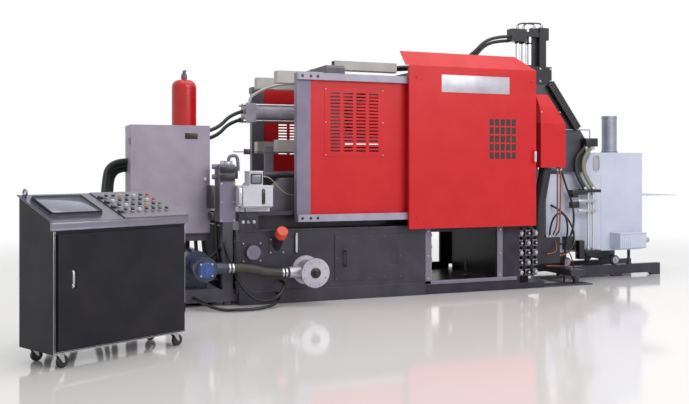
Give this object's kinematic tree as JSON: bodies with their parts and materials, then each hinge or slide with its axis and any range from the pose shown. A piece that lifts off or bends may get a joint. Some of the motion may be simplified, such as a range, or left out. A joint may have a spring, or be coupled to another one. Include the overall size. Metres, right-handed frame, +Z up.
{
  "type": "die casting machine",
  "caption": "Hot chamber die casting machine with guarded clamp unit on an oil tank bed, holding furnace, electric cabinet and a separate wheeled control console.",
  "frame": {"origin": "on the floor under the die face of the fixed platen, on the machine's centre plane", "axes": "+X along the machine towards the furnace, +Y away from the operator's side, +Z up"},
  "size_m": [6.9767, 3.5505, 2.665],
  "materials": {
    "guard_red": "semi-gloss",
    "guard_grey": "semi-gloss",
    "bed_grey": "satin",
    "cast_grey": "satin",
    "steel": "ground",
    "hard_chrome": "polished",
    "cover_beige": "satin",
    "cabinet_grey": "satin",
    "console_dark": "satin",
    "furnace_white": "satin",
    "pump_blue": "satin",
    "bottle_red": "gloss",
    "strainer_grey": "cast",
    "lubricator_white": "satin",
    "clear_pane": "clear",
    "hose_green": "ribbed",
    "hose_black": "satin",
    "caster_plastic": "satin"
  },
  "bodies": {
    "machine": {"oil_tank": "bed_grey", "bed_portal": "bed_grey", "bed_deck": "bed_grey", "levelling_feet": "bed_grey", "tank_fittings": "bed_grey", "suction_strainer": "strainer_grey", "rear_frame": "bed_grey", "pump_motor": "pump_blue", "valve_column": "bed_grey", "lubricator": "lubricator_white", "accumulator": "bottle_red", "cabinet_body": "cabinet_grey", "rear_platen": "cast_grey", "moving_platen": "cast_grey", "fixed_platen": "cast_grey", "tie_bars": "hard_chrome", "tie_bar_covers": "cover_beige", "toggle_links": "cast_grey", "clamp_cylinder": "cast_grey", "rear_saddle": "cast_grey", "front_guard_frame": "guard_grey", "front_fixed_panel": "guard_red", "front_louvre": "guard_red", "guard_rails": "guard_grey", "rear_guard_frame": "guard_grey", "rear_guard_panel": "guard_red", "top_trunking": "cover_beige", "injection_frame": "cast_grey", "shot_cylinder": "steel", "nozzle_guard": "guard_red", "mast_frame": "cast_grey", "mast_actuator": "hard_chrome", "hydraulic_manifold": "bed_grey", "spray_hoses": "hose_green", "furnace_body": "furnace_white", "furnace_cover": "furnace_white", "flue": "furnace_white", "burner": "furnace_white", "furnace_carriage": "bed_grey", "furnace_rails": "bed_grey", "console_body": "console_dark", "console_desk": "steel", "console_conduit_left": "hose_green", "console_conduit_right": "hose_green", "clamp_conduit_upper": "hose_green", "clamp_conduit_lower": "hose_green", "suction_hose": "hose_black", "floor_cable": "hose_black"},
    "sliding_guard_door": {"guard_door": "guard_red", "door_window": "clear_pane"},
    "cabinet_front_door": {"cabinet_door": "cabinet_grey"},
    "console_front_door": {"console_door": "console_dark"},
    "caster_swivel_1": {"caster_fork_1": "steel"},
    "caster_roller_1": {"caster_wheel_1": "caster_plastic"},
    "caster_swivel_2": {"caster_fork_2": "steel"},
    "caster_roller_2": {"caster_wheel_2": "caster_plastic"},
    "caster_swivel_3": {"caster_fork_3": "steel"},
    "caster_roller_3": {"caster_wheel_3": "caster_plastic"},
    "caster_swivel_4": {"caster_fork_4": "steel"},
    "caster_roller_4": {"caster_wheel_4": "caster_plastic"}
  },
  "joints": [
    {"name": "guard_door_slide", "type": "slide", "parent": "machine", "child": "sliding_guard_door", "axis": [-1, 0, 0], "range_m": [0, 1.04]},
    {"name": "cabinet_door_hinge", "type": "hinge", "parent": "machine", "child": "cabinet_front_door", "pos_m": [-3.709, -0.47775, 1.0875], "axis": [0, 0, -1], "range_deg": [0, 120]},
    {"name": "console_door_hinge", "type": "hinge", "parent": "machine", "child": "console_front_door", "pos_m": [-3.58953, -2.2636, 0.482], "axis": [0, 0, 1], "range_deg": [0, 120]},
    {"name": "caster_1_swivel", "type": "hinge", "parent": "machine", "child": "caster_swivel_1", "pos_m": [-4.41024, -2.63712, 0.084], "axis": [0, 0, 1], "continuous": true},
    {"name": "caster_1_roll", "type": "hinge", "parent": "caster_swivel_1", "child": "caster_roller_1", "pos_m": [-4.38552, -2.62397, 0.0375], "axis": [-0.4695, 0.8829, 0], "continuous": true},
    {"name": "caster_2_swivel", "type": "hinge", "parent": "machine", "child": "caster_swivel_2", "pos_m": [-3.65532, -2.23572, 0.084], "axis": [0, 0, 1], "continuous": true},
    {"name": "caster_2_roll", "type": "hinge", "parent": "caster_swivel_2", "child": "caster_roller_2", "pos_m": [-3.6306, -2.22257, 0.0375], "axis": [-0.4695, 0.8829, 0], "continuous": true},
    {"name": "caster_3_swivel", "type": "hinge", "parent": "machine", "child": "caster_swivel_3", "pos_m": [-4.54522, -2.38327, 0.084], "axis": [0, 0, 1], "continuous": true},
    {"name": "caster_3_roll", "type": "hinge", "parent": "caster_swivel_3", "child": "caster_roller_3", "pos_m": [-4.52049, -2.37012, 0.0375], "axis": [-0.4695, 0.8829, 0], "continuous": true},
    {"name": "caster_4_swivel", "type": "hinge", "parent": "machine", "child": "caster_swivel_4", "pos_m": [-3.7903, -1.98187, 0.084], "axis": [0, 0, 1], "continuous": true},
    {"name": "caster_4_roll", "type": "hinge", "parent": "caster_swivel_4", "child": "caster_roller_4", "pos_m": [-3.76557, -1.96873, 0.0375], "axis": [-0.4695, 0.8829, 0], "continuous": true}
  ]
}
